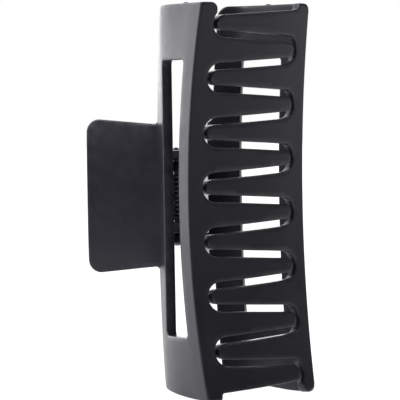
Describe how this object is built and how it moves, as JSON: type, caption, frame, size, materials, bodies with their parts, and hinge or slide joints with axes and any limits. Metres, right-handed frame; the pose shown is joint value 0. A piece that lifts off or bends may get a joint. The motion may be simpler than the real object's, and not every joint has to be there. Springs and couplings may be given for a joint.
{
  "type": "claw hair clip",
  "caption": "Large rectangular claw hair clip: two windowed jaws with long interleaving teeth, thumb handles, and a pinned hinge with a torsion spring",
  "frame": {"origin": "Middle of the outline at the lower end, with the clip closed and standing on one end", "axes": "+Z runs along the clip and along the hinge, +X points from the left jaw to the right jaw, +Y points from the tooth face to the handles"},
  "size_m": [0.047, 0.0512, 0.11],
  "materials": {
    "left_jaw": "soft-touch matte black moulding",
    "right_jaw": "soft-touch matte black moulding",
    "hinge_pin": "drawn steel",
    "torsion_spring": "drawn spring steel"
  },
  "bodies": {
    "left": {"left_jaw": "left_jaw", "hinge_pin": "hinge_pin", "torsion_spring": "torsion_spring"},
    "right": {"right_jaw": "right_jaw"}
  },
  "joints": [
    {"name": "jaw_hinge", "type": "hinge", "parent": "left", "child": "right", "pos_m": [0, 0.01201, 0.055], "axis": [0, 0, 1], "range_deg": [0, 100], "stiffness_Nm_per_rad": 0.08, "springref_deg": -85.94, "deforming": ["torsion_spring"]}
  ]
}
